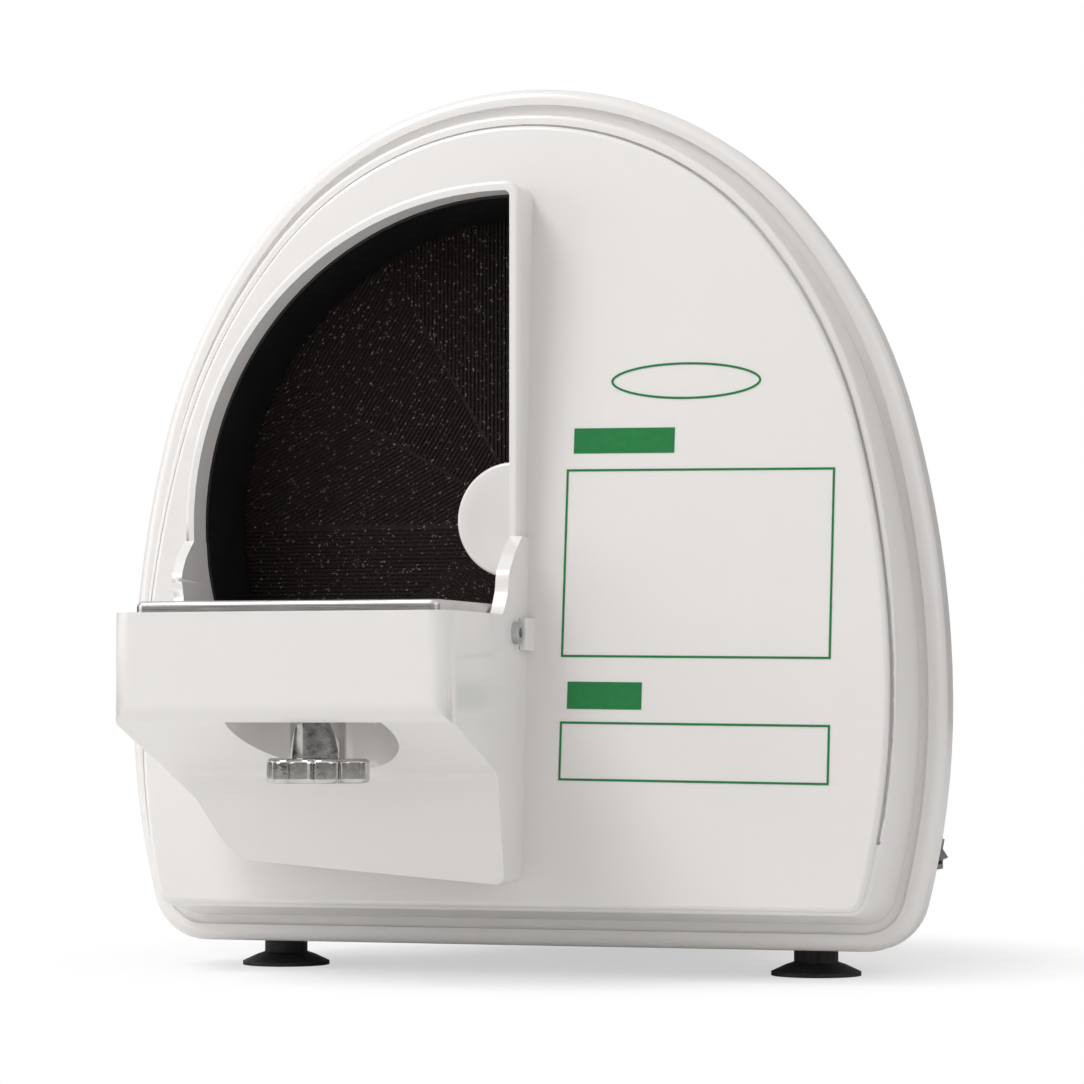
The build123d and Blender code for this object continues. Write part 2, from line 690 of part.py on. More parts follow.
tray -= cylinder_x(pivot_screw_radius, -160, 60, -pivot_depth, pivot_height)
tray -= cylinder_z(bush_radius, pocket_ceiling - 1, pocket_ceiling + 10, knob_x, -knob_depth)

# Lugs that hook the tray's sides to the face
lug_thickness = 3.2
lug_front = -pivot_depth + pivot_head_radius + 1.5
for name, x_low in (("right", tray_right), ("left", tray_left - lug_thickness)):
    lug = block(x_low, x_low + lug_thickness, lug_front, 0, pivot_height - 7, pivot_height + 6)
    lug = fillet([e for e in lug.edges() if abs(e.center().Y - at(lug_front)) < 0.1], 1.0)
    nodes["tray_lug_" + name] = lug - behind_face(0)

# Work table: a folded plate on a cross bracket, tilting about two screws
table_rear = disc_front - table_disc_gap
skirt_rear = -36.0
shell = block(table_left, table_right, -table_front, skirt_rear, table_top - table_skirt, table_top)
shell = fillet([e for e in shell.edges() if abs(e.tangent_at(0.5).Z) > 0.99
                and e.center().Y < at(-table_front) + 0.1], table_corner_round)
fold_edges = [e for e in shell.edges() if abs(e.center().Z - table_top) < 0.01
              and e.center().Y < at(skirt_rear) - 0.1]
shell = fillet(fold_edges, 2.4)
core = block(table_left + table_sheet, table_right - table_sheet, -table_front + table_sheet, skirt_rear + 1,
             table_top - table_skirt - 1, table_top - table_sheet)
shell -= core
shell += block(tongue_left, table_right, skirt_rear, table_rear, table_top - table_sheet, table_top)
nodes["table_plate"] = shell

strip = 3.5
under = table_top - table_sheet
bracket_front = -pivot_depth - 8
bracket_left = table_left + table_sheet
bracket_right = table_right - table_sheet
bracket = block(bracket_left, bracket_right, bracket_front, -pivot_depth + 8, under - 3, under)
cheek_foot = pivot_height - 7
for x_low in (bracket_left, bracket_right - strip):
    bracket += block(x_low, x_low + strip, bracket_front, -pivot_depth + 8, cheek_foot, under)
bracket -= cylinder_x(pivot_screw_radius + running_gap, -160, 60, -pivot_depth, pivot_height)
nodes["table_bracket"] = bracket

spacer_radius = 3.6
side_gap = 0.1


def pivot_bar(radius, first, last):
    """A round bar on the table's tilt axis, between two places along X in either order."""
    low, high = sorted((first, last))
    return cylinder_x(radius, low, high, -pivot_depth, pivot_height)


for name, way, outside, inside, cheek in (
    ("right", 1, tray_right, tray_inner_right, bracket_right),
    ("left", -1, tray_left, tray_inner_left, bracket_left),
):
    screw = pivot_bar(pivot_screw_radius, outside, cheek - way * (strip + 1))
    head = pivot_bar(pivot_head_radius, outside, outside + way * pivot_head_height)
    head -= pivot_bar(2.0, outside + way * 1.2, outside + way * 5)
    screw += head
    nodes["pivot_screw_" + name] = screw
    spacer = pivot_bar(spacer_radius, cheek + way * side_gap, inside) - pivot_bar(pivot_screw_radius, -160, 60)
    nodes["pivot_spacer_" + name] = spacer

# Table adjuster: star knob and screw turn in a bush, and a guided nut rises on the screw
star = Circle(knob_radius - 4.2)
lobe_ring = knob_radius - 6.4
for k in range(knob_lobes):
    star += Rot(0, 0, k * 360 / knob_lobes) * Pos(lobe_ring, 0) * Circle(6.4)
for k in range(knob_lobes):
    star -= Rot(0, 0, (k + 0.5) * 360 / knob_lobes) * Pos(knob_radius + 0.6, 0) * Circle(6.2)
knob_seat = pocket_ceiling - 0.3
star_body = extrude(Pos(knob_x, at(-knob_depth), knob_foot) * star, amount=knob_thickness)
rims = [e for e in star_body.edges() if abs(abs(e.center().Z - knob_foot - knob_thickness / 2)
                                            - knob_thickness / 2) < 0.01]
star_body = fillet(rims, 1.8)
star_body += cylinder_z(knob_hub_radius, knob_foot + knob_thickness - 1, knob_seat, knob_x, -knob_depth)
star_body -= cylinder_z(adjuster_radius, knob_foot + 4, knob_seat + 1, knob_x, -knob_depth)
nodes["star_knob"] = one_solid(star_body)
nodes["adjuster_screw"] = cylinder_z(adjuster_radius, knob_foot + 4, screw_top, knob_x, -knob_depth)
bush = cylinder_z(bush_radius, pocket_ceiling, bush_top, knob_x, -knob_depth)
bush += cylinder_z(bush_radius + 3, pocket_ceiling + tray_wall, pocket_ceiling + tray_wall + 3,
                   knob_x, -knob_depth)
bush -= cylinder_z(adjuster_radius + running_gap, 0, 200, knob_x, -knob_depth)
nodes["adjuster_bush"] = bush
guide_x = knob_x + 17
guide_radius = 3.0
guide_top = 138.5
nodes["guide_post"] = cylinder_z(guide_radius, pocket_ceiling + tray_wall, guide_top, guide_x, -knob_depth)
glide_top = under - glide_gap
nut = cylinder_z(glide_radius, nut_foot, glide_top, knob_x, -knob_depth)
nut &= Pos(knob_x, at(-knob_depth), glide_top - glide_dome) * Sphere(glide_dome) + block(
    knob_x - 20, knob_x + 20, -knob_depth - 20, -knob_depth + 20, nut_foot, glide_top - glide_dome / 2)
nut += block(knob_x, guide_x, -knob_depth - 4, -knob_depth + 4, nut_foot, nut_foot + 8)
nut += cylinder_z(guide_radius + 2.5, nut_foot, nut_foot + 8, guide_x, -knob_depth)
nut -= cylinder_z(adjuster_radius + running_gap, nut_foot - 1, screw_top + 9.0, knob_x, -knob_depth)
nut -= cylinder_z(guide_radius + running_gap, nut_foot - 1, nut_foot + 30, guide_x, -knob_depth)
nodes["lift_nut"] = one_solid(nut)
nodes["tray_housing"] = one_solid(tray)

# Rocker switch low on the right side
switch_depth = 60.0
switch_height = 50.0
switch_out = 161.2
switch_in = 141.0
bezel_length, bezel_height = 21.0, 15.0
bezel = block(switch_in, switch_out, switch_depth - bezel_length / 2, switch_depth + bezel_length / 2,
              switch_height - bezel_height / 2, switch_height + bezel_height / 2)
rear_casing -= block(switch_in, switch_out + 10, switch_depth - bezel_length / 2,
                     switch_depth + bezel_length / 2, switch_height - bezel_height / 2,
                     switch_height + bezel_height / 2)
bezel -= block(switch_in + 4, switch_out + 1, switch_depth - bezel_length / 2 + 2,
               switch_depth + bezel_length / 2 - 2, switch_height - bezel_height / 2 + 2,
               switch_height + bezel_height / 2 - 2)
axle_x = switch_out - 3.5
axle_radius = 1.5
bezel += cylinder_y(axle_radius, switch_depth - bezel_length / 2 + 1, switch_depth + bezel_length / 2 - 1,
                    axle_x, switch_height)
nodes["switch_bezel"] = bezel
rocker_tilt = 11.0
rocker_half = bezel_length / 2 - 2.6
rocker_reach = bezel_height / 2 - 3.0
rocker = front_prism([(axle_x - 3, switch_height - rocker_reach + 0.6),
                      (axle_x + 3.2, switch_height - rocker_reach),
                      (axle_x + 5.6, switch_height - rocker_reach + 0.6), (axle_x + 4.0, switch_height),
                      (axle_x + 5.6, switch_height + rocker_reach - 0.6),
                      (axle_x + 3.2, switch_height + rocker_reach),
                      (axle_x - 3, switch_height + rocker_reach - 0.6)],
                     switch_depth - rocker_half, switch_depth + rocker_half)
rocker -= cylinder_y(axle_radius + running_gap, 0, 100, axle_x, switch_height)
rocker = rocker.rotate(Axis((axle_x, 0, switch_height), (0, 1, 0)), -rocker_tilt)
nodes["switch_rocker"] = rocker

# Water inlet: a cock with a lever on the rear wall, a tube and a spray nozzle over the disc
valve_x, valve_height = -120.0, 70.0
valve_radius = 11.0
valve_rear = rear_depth + 26
valve = cylinder_y(valve_radius, rear_depth, valve_rear, valve_x, valve_height)
valve += cylinder_y(6.5, rear_depth - wall, rear_depth, valve_x, valve_height)
inlet_radius = 6.6
inlet_length = 16.0
valve += cylinder_y(inlet_radius, valve_rear, valve_rear + inlet_length, valve_x, valve_height)
stem_depth = rear_depth + 13
stem_radius = 4.0
boss_top = valve_height + valve_radius + 4
valve += cylinder_z(stem_radius + 3, valve_height, boss_top, valve_x, stem_depth)
valve -= cylinder_z(stem_radius + running_gap, valve_height + 4, boss_top + 1, valve_x, stem_depth)
valve -= cylinder_y(3.0, rear_depth - 10, stem_depth - 8, valve_x, valve_height)
valve -= cylinder_y(3.0, stem_depth + 8, valve_rear + inlet_length + 1, valve_x, valve_height)
nodes["inlet_valve"] = one_solid(valve)
rear_casing -= cylinder_y(6.5, rear_depth - 20, rear_depth + 1, valve_x, valve_height)
lever = cylinder_z(stem_radius, valve_height + 4.3, boss_top + 6, valve_x, stem_depth)
lever += cylinder_z(stem_radius + 3.5, boss_top + 0.4, boss_top + 5.5, valve_x, stem_depth)
lever += block(valve_x - 4, valve_x + 4, stem_depth, stem_depth + 34, boss_top + 1, boss_top + 5)
lever = fillet([e for e in lever.edges() if abs(e.tangent_at(0.5).Z) > 0.99
                and e.center().Y > at(stem_depth + 33)], 3.5)
nodes["valve_lever"] = lever

tube_radius = 3.5
tube_bore = 2.2
nozzle_x, nozzle_depth = 16.0, -3.0
tube_points = [(valve_x, at(rear_depth - wall), valve_height), (valve_x, at(60), valve_height),
               (valve_x, at(60), 205), (-60, at(60), 320), (nozzle_x, at(60), 336),
               (nozzle_x, at(nozzle_depth), 336), (nozzle_x, at(nozzle_depth), 312)]
route = FilletPolyline(*tube_points, radius=9)
start = Plane(origin=tube_points[0], x_dir=(1, 0, 0), z_dir=(0, -1, 0))
tube = sweep(start * Circle(tube_radius), path=route) - sweep(start * Circle(tube_bore), path=route)
nodes["water_tube"] = one_solid(tube)
nozzle_hole = cylinder_z(tube_radius, 300, 345, nozzle_x, nozzle_depth)
nodes["front_casing"] = one_solid(nodes["front_casing"] - nozzle_hole)
nodes["splash_ring"] = one_solid(splash_ring - nozzle_hole)

# Cable gland on the hood's rear wall, run capacitor and screws
gland_x, gland_height = 52.0, 46.0
gland_bore = 4.0
gland = cylinder_y(8.0, hood_rear - hood_wall - 8, hood_rear, gland_x, gland_height)
gland += slab(Pos(gland_x, gland_height) * RegularPolygon(12.0, 6), hood_rear, hood_rear + 6)
gland += cylinder_y(8.5, hood_rear + 6, hood_rear + 14, gland_x, gland_height)
gland -= cylinder_y(gland_bore, hood_rear - 30, hood_rear + 30, gland_x, gland_height)
nodes["cable_gland"] = gland
hood -= cylinder_y(8.0, hood_rear - hood_wall - 1, hood_rear + 1, gland_x, gland_height)
can_radius = 15.0
can_x = 40.0
can = cylinder_y(can_radius, 46, 96, -can_x, plate_top + can_radius + 3)
nodes["run_capacitor"] = fillet(edges_near(can, 46, 46), 2.0)
clip = block(-can_x - can_radius - 3, -can_x + can_radius + 3, 62, 78, plate_top, plate_top + can_radius + 3)
nodes["capacitor_clip"] = clip - cylinder_y(can_radius, 40, 100, -can_x, plate_top + can_radius + 3)

screw_ring = egg_edges(hood_half_width, hood_top, foot_height, widest_height, hood_half_width * 0.9,
                       base_corner, flank_radius * 1.5, -flange_width / 2)[0]
spots = []
for centre, radius, first, last in (screw_ring[0], screw_ring[2], screw_ring[3]):
    angle = math.radians(first if centre[0] == 0 else (first + last) / 2)
    x = centre[0] + radius * math.cos(angle)
    z = centre[1] + radius * math.sin(angle)
    spots += [(x, z)] if abs(x) < 1 else [(x, z), (-x, z)]
flange_rear = rear_depth + flange_thickness
screws = []
for x, z in spots:
    screws.append(cylinder_y(3.2, flange_rear, flange_rear + 2, x, z)
                  + cylinder_y(1.6, rear_depth - wall, flange_rear, x, z))
    hood -= cylinder_y(1.6, rear_depth - 10, flange_rear + 1, x, z)
    rear_casing -= cylinder_y(1.6, rear_depth - 10, flange_rear + 1, x, z)
nodes["hood_screws"] = Compound(children=screws)
nodes["motor_hood"] = one_solid(hood)
nodes["rear_casing"] = one_solid(rear_casing)

os.makedirs("parts", exist_ok=True)
for name, shape in nodes.items():
    export_step(shape, "parts/" + name + ".step")
print(len(nodes), "pieces")
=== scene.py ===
# %% [markdown]
# A dental model trimmer, dressed for a photograph. The machine grinds stone models of teeth on a wet
# abrasive disc. The construction model already holds every piece at its real size, so this notebook
# loads it first, keeps its shape, and gives each surface the finish of the real one.

# %% Load the construction model
import json
import math

import bmesh
import bpy
from mathutils import Matrix, Vector

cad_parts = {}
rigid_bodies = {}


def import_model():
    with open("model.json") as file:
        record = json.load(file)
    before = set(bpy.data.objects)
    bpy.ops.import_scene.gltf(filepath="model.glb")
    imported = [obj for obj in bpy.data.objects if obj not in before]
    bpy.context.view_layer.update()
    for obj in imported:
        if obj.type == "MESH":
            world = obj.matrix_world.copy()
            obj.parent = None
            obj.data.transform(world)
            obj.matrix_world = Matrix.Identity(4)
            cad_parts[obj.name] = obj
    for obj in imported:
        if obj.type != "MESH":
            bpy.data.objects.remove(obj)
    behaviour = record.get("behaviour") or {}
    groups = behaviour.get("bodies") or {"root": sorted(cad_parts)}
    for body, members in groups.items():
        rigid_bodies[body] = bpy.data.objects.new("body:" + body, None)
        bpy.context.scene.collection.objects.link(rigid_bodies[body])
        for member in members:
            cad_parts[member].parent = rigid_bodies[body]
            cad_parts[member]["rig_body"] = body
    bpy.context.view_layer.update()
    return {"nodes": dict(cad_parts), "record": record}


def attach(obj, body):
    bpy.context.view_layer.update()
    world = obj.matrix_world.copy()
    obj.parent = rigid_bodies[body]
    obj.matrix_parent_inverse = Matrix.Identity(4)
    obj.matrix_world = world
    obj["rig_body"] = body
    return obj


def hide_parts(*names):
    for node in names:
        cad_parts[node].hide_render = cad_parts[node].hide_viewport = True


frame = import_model()
nodes = frame["nodes"]
print("construction pieces:", len(nodes))


# %% [markdown]
# Every piece is placed by depth and height, as on the workshop drawing. Depth is counted from the
# casing's rim, the widest band of the egg, and grows towards the rear. The sizes below are the
# drawing's own, in metres.

# %% Sizes shared with the drawing
RIM_Y = -0.108
AXIS_HEIGHT = 0.1863
DISC_RADIUS = 0.129
DISC_FRONT = 0.0098
FACE_TOP_HEIGHT = 0.3495
FACE_TOP_DEPTH = -0.0119
FACE_LEAN = math.radians(4.0)


def at(depth):
    """Y of a depth counted from the rim."""
    return RIM_Y + depth


def face_y(height):
    """Y of the leaning front face at a height."""
    return at(FACE_TOP_DEPTH - (FACE_TOP_HEIGHT - height) * math.tan(FACE_LEAN))


def activate(piece):
    """Leaves only this piece selected and active."""
    bpy.ops.object.select_all(action="DESELECT")
    piece.select_set(True)
    bpy.context.view_layer.objects.active = piece


def settle(piece):
    """Moves a finished piece's place into its mesh, so that its object sits at the origin."""
    activate(piece)
    bpy.ops.object.transform_apply(location=True, rotation=True, scale=True)


# %% [markdown]
# A finish is a small node tree. Each one starts from the same two helpers: a material with its shader,
# and a noise texture that reads the piece's own coordinates in metres, so the grain keeps its size
# when the object turns or moves.

# %% Helpers for finishes
def finish(name, colour, roughness, metallic=0.0, coat=0.0):
    """A new material and its shader, with constant values set on the shader itself."""
    material = bpy.data.materials.new(name)
    material.use_nodes = True
    shader = material.node_tree.nodes["Principled BSDF"]
    shader.inputs["Base Color"].default_value = (*colour, 1.0)
    shader.inputs["Roughness"].default_value = roughness
    shader.inputs["Metallic"].default_value = metallic
    shader.inputs["Coat Weight"].default_value = coat
    shader.inputs["Coat Roughness"].default_value = 0.08
    return material, shader


def add(material, kind, **settings):
    """A node of that kind in the material, with its sockets set by name."""
    node = material.node_tree.nodes.new(kind)
    for label, value in settings.items():
        node.inputs[label.replace("_", " ")].default_value = value
    return node


def join(material, source, target):
    """A link from one socket to another."""
    material.node_tree.links.new(source, target)


def grain(material, scale, detail=4.0, stretch=(1.0, 1.0, 1.0)):
    """Noise over the piece's own coordinates. stretch squeezes it along an axis."""
    place = add(material, "ShaderNodeTexCoord")
    mapping = add(material, "ShaderNodeMapping", Scale=stretch)
    noise = add(material, "ShaderNodeTexNoise", Scale=scale, Detail=detail, Roughness=0.6)
    join(material, place.outputs["Object"], mapping.inputs["Vector"])
    join(material, mapping.outputs["Vector"], noise.inputs["Vector"])
    return noise.outputs["Fac"]


def spread(material, source, low, high):
    """Maps a 0 to 1 value onto the range from low to high."""
    ranged = add(material, "ShaderNodeMapRange", From_Min=0.3, From_Max=0.7, To_Min=low, To_Max=high)
    join(material, source, ranged.inputs["Value"])
    return ranged.outputs["Result"]


def tint(material, shader, source, dark, light):
    """Colours the shader between two colours by a 0 to 1 value."""
    ramp = add(material, "ShaderNodeValToRGB")
    ramp.color_ramp.elements[0].position = 0.35
    ramp.color_ramp.elements[1].position = 0.65
    ramp.color_ramp.elements[0].color = (*dark, 1.0)
    ramp.color_ramp.elements[1].color = (*light, 1.0)
    join(material, source, ramp.inputs["Fac"])
    join(material, ramp.outputs["Color"], shader.inputs["Base Color"])


def relief(material, shader, source, height, strength=1.0):
    """Raises the surface by a texture, height in metres."""
    bump = add(material, "ShaderNodeBump", Strength=strength, Distance=height)
    join(material, source, bump.inputs["Height"])
    join(material, bump.outputs["Normal"], shader.inputs["Normal"])


# %% [markdown]
# The casing is moulded and sprayed in a warm glossy white. Sprayed paint is never quite flat: it has a
# faint orange peel of about two millimetres and a slightly uneven gloss. Both come from noise, and both
# are kept so weak that they only show in a highlight.

# %% Glossy white of the casing
casing_white, shader = finish("casing_white", (0.80, 0.78, 0.765), 0.3, coat=0.35)
tint(casing_white, shader, grain(casing_white, 5.0, 1.0), (0.797, 0.777, 0.762), (0.803, 0.783, 0.768))
uneven_gloss = spread(casing_white, grain(casing_white, 25.0, 1.0), 0.28, 0.33)
join(casing_white, uneven_gloss, shader.inputs["Roughness"])
relief(casing_white, shader, grain(casing_white, 450.0, 1.0), 0.00001, 0.2)

# %% [markdown]
# The splash ring, the switch and the grille are plastics moulded in their colour. A fine spark-eroded
# texture breaks up their gloss.

# %% Moulded plastics
moulded = {}
for name, dark, light, rough in (
    ("ring_black", (0.003, 0.003, 0.0032), (0.006, 0.006, 0.0064), 0.42),
    ("plastic_black", (0.012, 0.012, 0.013), (0.022, 0.022, 0.023), 0.48),
    ("plastic_grey", (0.13, 0.13, 0.135), (0.165, 0.165, 0.17), 0.45),
):
    material, shader = finish(name, dark, rough)
    tint(material, shader, grain(material, 30.0), dark, light)
    join(material, spread(material, grain(material, 900.0, 2.0), rough - 0.07, rough + 0.08),
         shader.inputs["Roughness"])
    relief(material, shader, grain(material, 1800.0, 2.0), 0.00003, 0.5)
    moulded[name] = material

# %% [markdown]
# The work table is stainless sheet, brushed from side to side. Brushing leaves scratches a few
# centimetres long and a few tenths of a millimetre across or finer, so the noise is squeezed hard across
# them and hardly along X. The scratches change the roughness and barely raise the surface.

# %% Brushed stainless and plated steel
stainless, shader = finish("stainless", (0.60, 0.575, 0.565), 0.28, metallic=1.0)
shader.inputs["Anisotropic"].default_value = 0.4
scratches = grain(stainless, 1.0, 6.0, (25.0, 2600.0, 2600.0))
tint(stainless, shader, grain(stainless, 30.0), (0.54, 0.515, 0.505), (0.66, 0.635, 0.625))
join(stainless, spread(stainless, scratches, 0.2, 0.42), shader.inputs["Roughness"])
relief(stainless, shader, scratches, 0.00002, 0.5)

zinc_steel, shader = finish("zinc_steel", (0.52, 0.53, 0.54), 0.34, metallic=1.0)
tint(zinc_steel, shader, grain(zinc_steel, 120.0), (0.40, 0.41, 0.42), (0.60, 0.61, 0.62))
join(zinc_steel, spread(zinc_steel, grain(zinc_steel, 500.0), 0.26, 0.48), shader.inputs["Roughness"])

# %% [markdown]
# The star knob is cast, polished and chromed. Chrome is nearly a mirror. What shows that it is a real
# one is a light haze from handling, so its roughness varies in soft patches.

# %% Chrome and bare castings
chrome, shader = finish("chrome_bright", (0.60, 0.58, 0.56), 0.07, metallic=1.0)
tint(chrome, shader, grain(chrome, 70.0), (0.58, 0.56, 0.54), (0.61, 0.59, 0.57))
join(chrome, spread(chrome, grain(chrome, 160.0), 0.04, 0.16), shader.inputs["Roughness"])
relief(chrome, shader, grain(chrome, 240.0, 2.0), 0.00005, 0.25)

cast_aluminium, shader = finish("aluminium_cast", (0.52, 0.53, 0.54), 0.45, metallic=1.0)
tint(cast_aluminium, shader, grain(cast_aluminium, 90.0), (0.42, 0.43, 0.44), (0.58, 0.59, 0.60))
relief(cast_aluminium, shader, grain(cast_aluminium, 700.0), 0.0001, 0.6)

brass, shader = finish("brass", (0.60, 0.40, 0.16), 0.3, metallic=1.0)
tint(brass, shader, grain(brass, 110.0), (0.48, 0.31, 0.12), (0.66, 0.46, 0.20))
join(brass, spread(brass, grain(brass, 600.0), 0.22, 0.42), shader.inputs["Roughness"])

laminated, shader = finish("laminated_steel", (0.12, 0.12, 0.125), 0.5, metallic=0.6)
sheets = grain(laminated, 1.0, 2.0, (12.0, 1800.0, 12.0))
tint(laminated, shader, sheets, (0.07, 0.07, 0.075), (0.19, 0.19, 0.2))
relief(laminated, shader, sheets, 0.0001, 0.6)

motor_grey, shader = finish("motor_grey", (0.09, 0.105, 0.12), 0.4)
tint(motor_grey, shader, grain(motor_grey, 40.0), (0.08, 0.095, 0.11), (0.105, 0.12, 0.135))
relief(motor_grey, shader, grain(motor_grey, 650.0), 0.00008, 0.5)

# %% [markdown]
# The suction feet are soft black rubber. Rubber takes dust, so its colour is mottled towards grey, and
# its skin is dull with a fine tooth.

# %% Rubber of the feet and the seal
rubber, shader = finish("rubber_black", (0.012, 0.012, 0.012), 0.5)
tint(rubber, shader, grain(rubber, 120.0), (0.008, 0.008, 0.008), (0.022, 0.021, 0.02))
join(rubber, spread(rubber, grain(rubber, 800.0), 0.4, 0.62), shader.inputs["Roughness"])
relief(rubber, shader, grain(rubber, 1500.0, 2.0), 0.00004, 0.5)

# %% [markdown]
# The disc carries dark grit in a brown bond. A cell texture at the size of the grains picks out a few
# grains, and their colour is painted lighter: a painted glint, standing for grains that catch the lamp.

# %% Grit of the disc
BOND = (0.0115, 0.0066, 0.0050)
# A painted glint: the lighter colour given to a few grains, standing for grains that catch the lamp.
PAINTED_GLINT = (0.22, 0.18, 0.15)
PAINTED_GLINT_ABOVE = 0.975
grit, shader = finish("grit_dark", BOND, 0.6)
shader.inputs["Specular IOR Level"].default_value = 0.3
place = add(grit, "ShaderNodeTexCoord")
cells = add(grit, "ShaderNodeTexVoronoi", Scale=1500.0)
join(grit, place.outputs["Object"], cells.inputs["Vector"])
# Picks out the few grains that get the painted glint.
painted_glint_mask = add(grit, "ShaderNodeMath")
painted_glint_mask.operation = "GREATER_THAN"
painted_glint_mask.inputs[1].default_value = PAINTED_GLINT_ABOVE
channels = add(grit, "ShaderNodeSeparateColor")
join(grit, cells.outputs["Color"], channels.inputs["Color"])
join(grit, channels.outputs["Red"], painted_glint_mask.inputs[0])
mixed = add(grit, "ShaderNodeMix")
mixed.data_type = "RGBA"
colours = [s for s in mixed.inputs if s.type == "RGBA"]
colours[0].default_value = (*BOND, 1.0)
colours[1].default_value = (*PAINTED_GLINT, 1.0)
join(grit, painted_glint_mask.outputs["Value"], mixed.inputs["Factor"])
join(grit, [s for s in mixed.outputs if s.type == "RGBA"][0], shader.inputs["Base Color"])
join(grit, spread(grit, channels.outputs["Green"], 0.38, 0.75), shader.inputs["Roughness"])
relief(grit, shader, channels.outputs["Blue"], 0.00025, 0.9)

# %% [markdown]
# The front of the real machine carries printed frames in green. Print is a thin film of ink: flat in
# colour, a little glossy, and uneven where the screen left less ink.

# %% Green ink
print_green, shader = finish("print_green", (0.006, 0.185, 0.042), 0.4)
tint(print_green, shader, grain(print_green, 300.0), (0.005, 0.172, 0.038), (0.008, 0.20, 0.048))

FINISHES = {
    "casing_white": casing_white, "stainless": stainless, "zinc_steel": zinc_steel,
    "chrome_bright": chrome, "aluminium_cast": cast_aluminium, "brass": brass,
    "laminated_steel": laminated, "motor_grey": motor_grey, "rubber_black": rubber,
    "grit_dark": grit, **moulded,
}
print("finishes:", len(FINISHES) + 1)

# %% [markdown]
# The construction pieces arrive as loose triangles. In a copy the doubles are merged and the triangles
# of each flat face become one face again. The copy can then be shaded smoothly: round surfaces look
# round, and edges sharper than a set angle stay crisp. Weighted normals keep the big flat faces flat
# beside their rounded edges. Pieces that nobody sees from outside only get their finish.

# %% Dress the construction pieces
slots = {part["node"]: part["material_slot"] for part in frame["record"]["subparts"]}
HIDDEN = {"stator", "rotor_core", "front_bearing", "rear_bearing", "shaft_seal", "motor_shaft",
          "disc_carrier", "disc_bolt", "capacitor_clip", "guide_post", "pivot_spacer_left",
          "pivot_spacer_right"}
MADE_NEW = {"abrasive_disc"}
MERGE_DISTANCE = 0.000002
FLAT_WITHIN = math.radians(0.4)
CRISP_ABOVE = math.radians(30.0)


def skin(node_name):
    """A smooth copy of a construction piece, which stands for it."""
    source = nodes[node_name]
    piece = source.copy()
    piece.data = source.data.copy()
    piece.name = node_name + "_skin"
    piece.parent = None
    for key in list(piece.keys()):
        del piece[key]
    bpy.context.scene.collection.objects.link(piece)
    activate(piece)
    bpy.ops.object.mode_set(mode="EDIT")
    bpy.ops.mesh.select_all(action="SELECT")
    bpy.ops.mesh.remove_doubles(threshold=MERGE_DISTANCE)
    bpy.ops.mesh.dissolve_limited(angle_limit=FLAT_WITHIN)
    bpy.ops.object.mode_set(mode="OBJECT")
    bpy.ops.object.shade_smooth_by_angle(angle=CRISP_ABOVE)
    weighted = piece.modifiers.new("weighted", "WEIGHTED_NORMAL")
    weighted.keep_sharp = True
    bpy.ops.object.modifier_apply(modifier=weighted.name)
    piece.data.materials.clear()
    piece.data.materials.append(FINISHES[slots[node_name]])
    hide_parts(node_name)
    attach(piece, source["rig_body"])
    return piece


skins = 0
for node_name in sorted(nodes):
    if node_name in MADE_NEW:
        continue
    if node_name in HIDDEN:
        nodes[node_name].data.materials.clear()
        nodes[node_name].data.materials.append(FINISHES[slots[node_name]])
        continue
    skin(node_name)
    skins += 1
print("skins:", skins)

# %% [markdown]
# The disc's face is cut into twelve sectors of fine parallel ridges, and the ridges of each sector run
# another way. One ridge is shaped from a cube: its top is narrowed so that the flanks slope, as pressed
# grit does. It is then copied along each sector's lines, and each copy is cut to the sector's length.

# %% Ridges of the disc
SECTORS = 12
SECTOR_TILTS = (90.0, 58.0, 28.0)
RIDGE_PITCH = 0.0017
RIDGE_HEIGHT = 0.0007
RIDGE_FOOT = 0.68 * RIDGE_PITCH
LAND = 0.0012
SHEET = 0.0017
SHEET_ROUNDING = 0.0005
RIM_CLEARANCE = 0.0008
SHORTEST_RIDGE = 0.002

bpy.ops.object.select_all(action="DESELECT")
sheet_middle = at(DISC_FRONT + RIDGE_HEIGHT + SHEET / 2)
bpy.ops.mesh.primitive_cylinder_add(vertices=160, radius=DISC_RADIUS, depth=SHEET,
                                    location=(0, sheet_middle, AXIS_HEIGHT),
                                    rotation=(math.pi / 2, 0, 0))
grit_disc = bpy.context.object
grit_disc.name = "grit_disc"
bpy.ops.object.mode_set(mode="EDIT")
bpy.ops.mesh.select_all(action="DESELECT")
shape = bmesh.from_edit_mesh(grit_disc.data)
for edge in shape.edges:
    edge.select_set(all(abs(v.co.xy.length - DISC_RADIUS) < 1e-5 for v in edge.verts)
                    and abs(edge.verts[0].co.z - edge.verts[1].co.z) < 1e-6)
bmesh.update_edit_mesh(grit_disc.data)
bpy.ops.mesh.bevel(offset=SHEET_ROUNDING, segments=2)
bpy.ops.object.mode_set(mode="OBJECT")
settle(grit_disc)

bpy.ops.object.select_all(action="DESELECT")
bpy.ops.mesh.primitive_cube_add(size=1.0)
ridge = bpy.context.object
bpy.ops.object.mode_set(mode="EDIT")
bpy.ops.mesh.select_all(action="DESELECT")
shape = bmesh.from_edit_mesh(ridge.data)
for face in shape.faces:
    face.select_set(face.normal.z > 0.9)
bmesh.update_edit_mesh(ridge.data)
bpy.ops.transform.resize(value=(0.985, 0.45, 1.0))
bpy.ops.object.mode_set(mode="OBJECT")


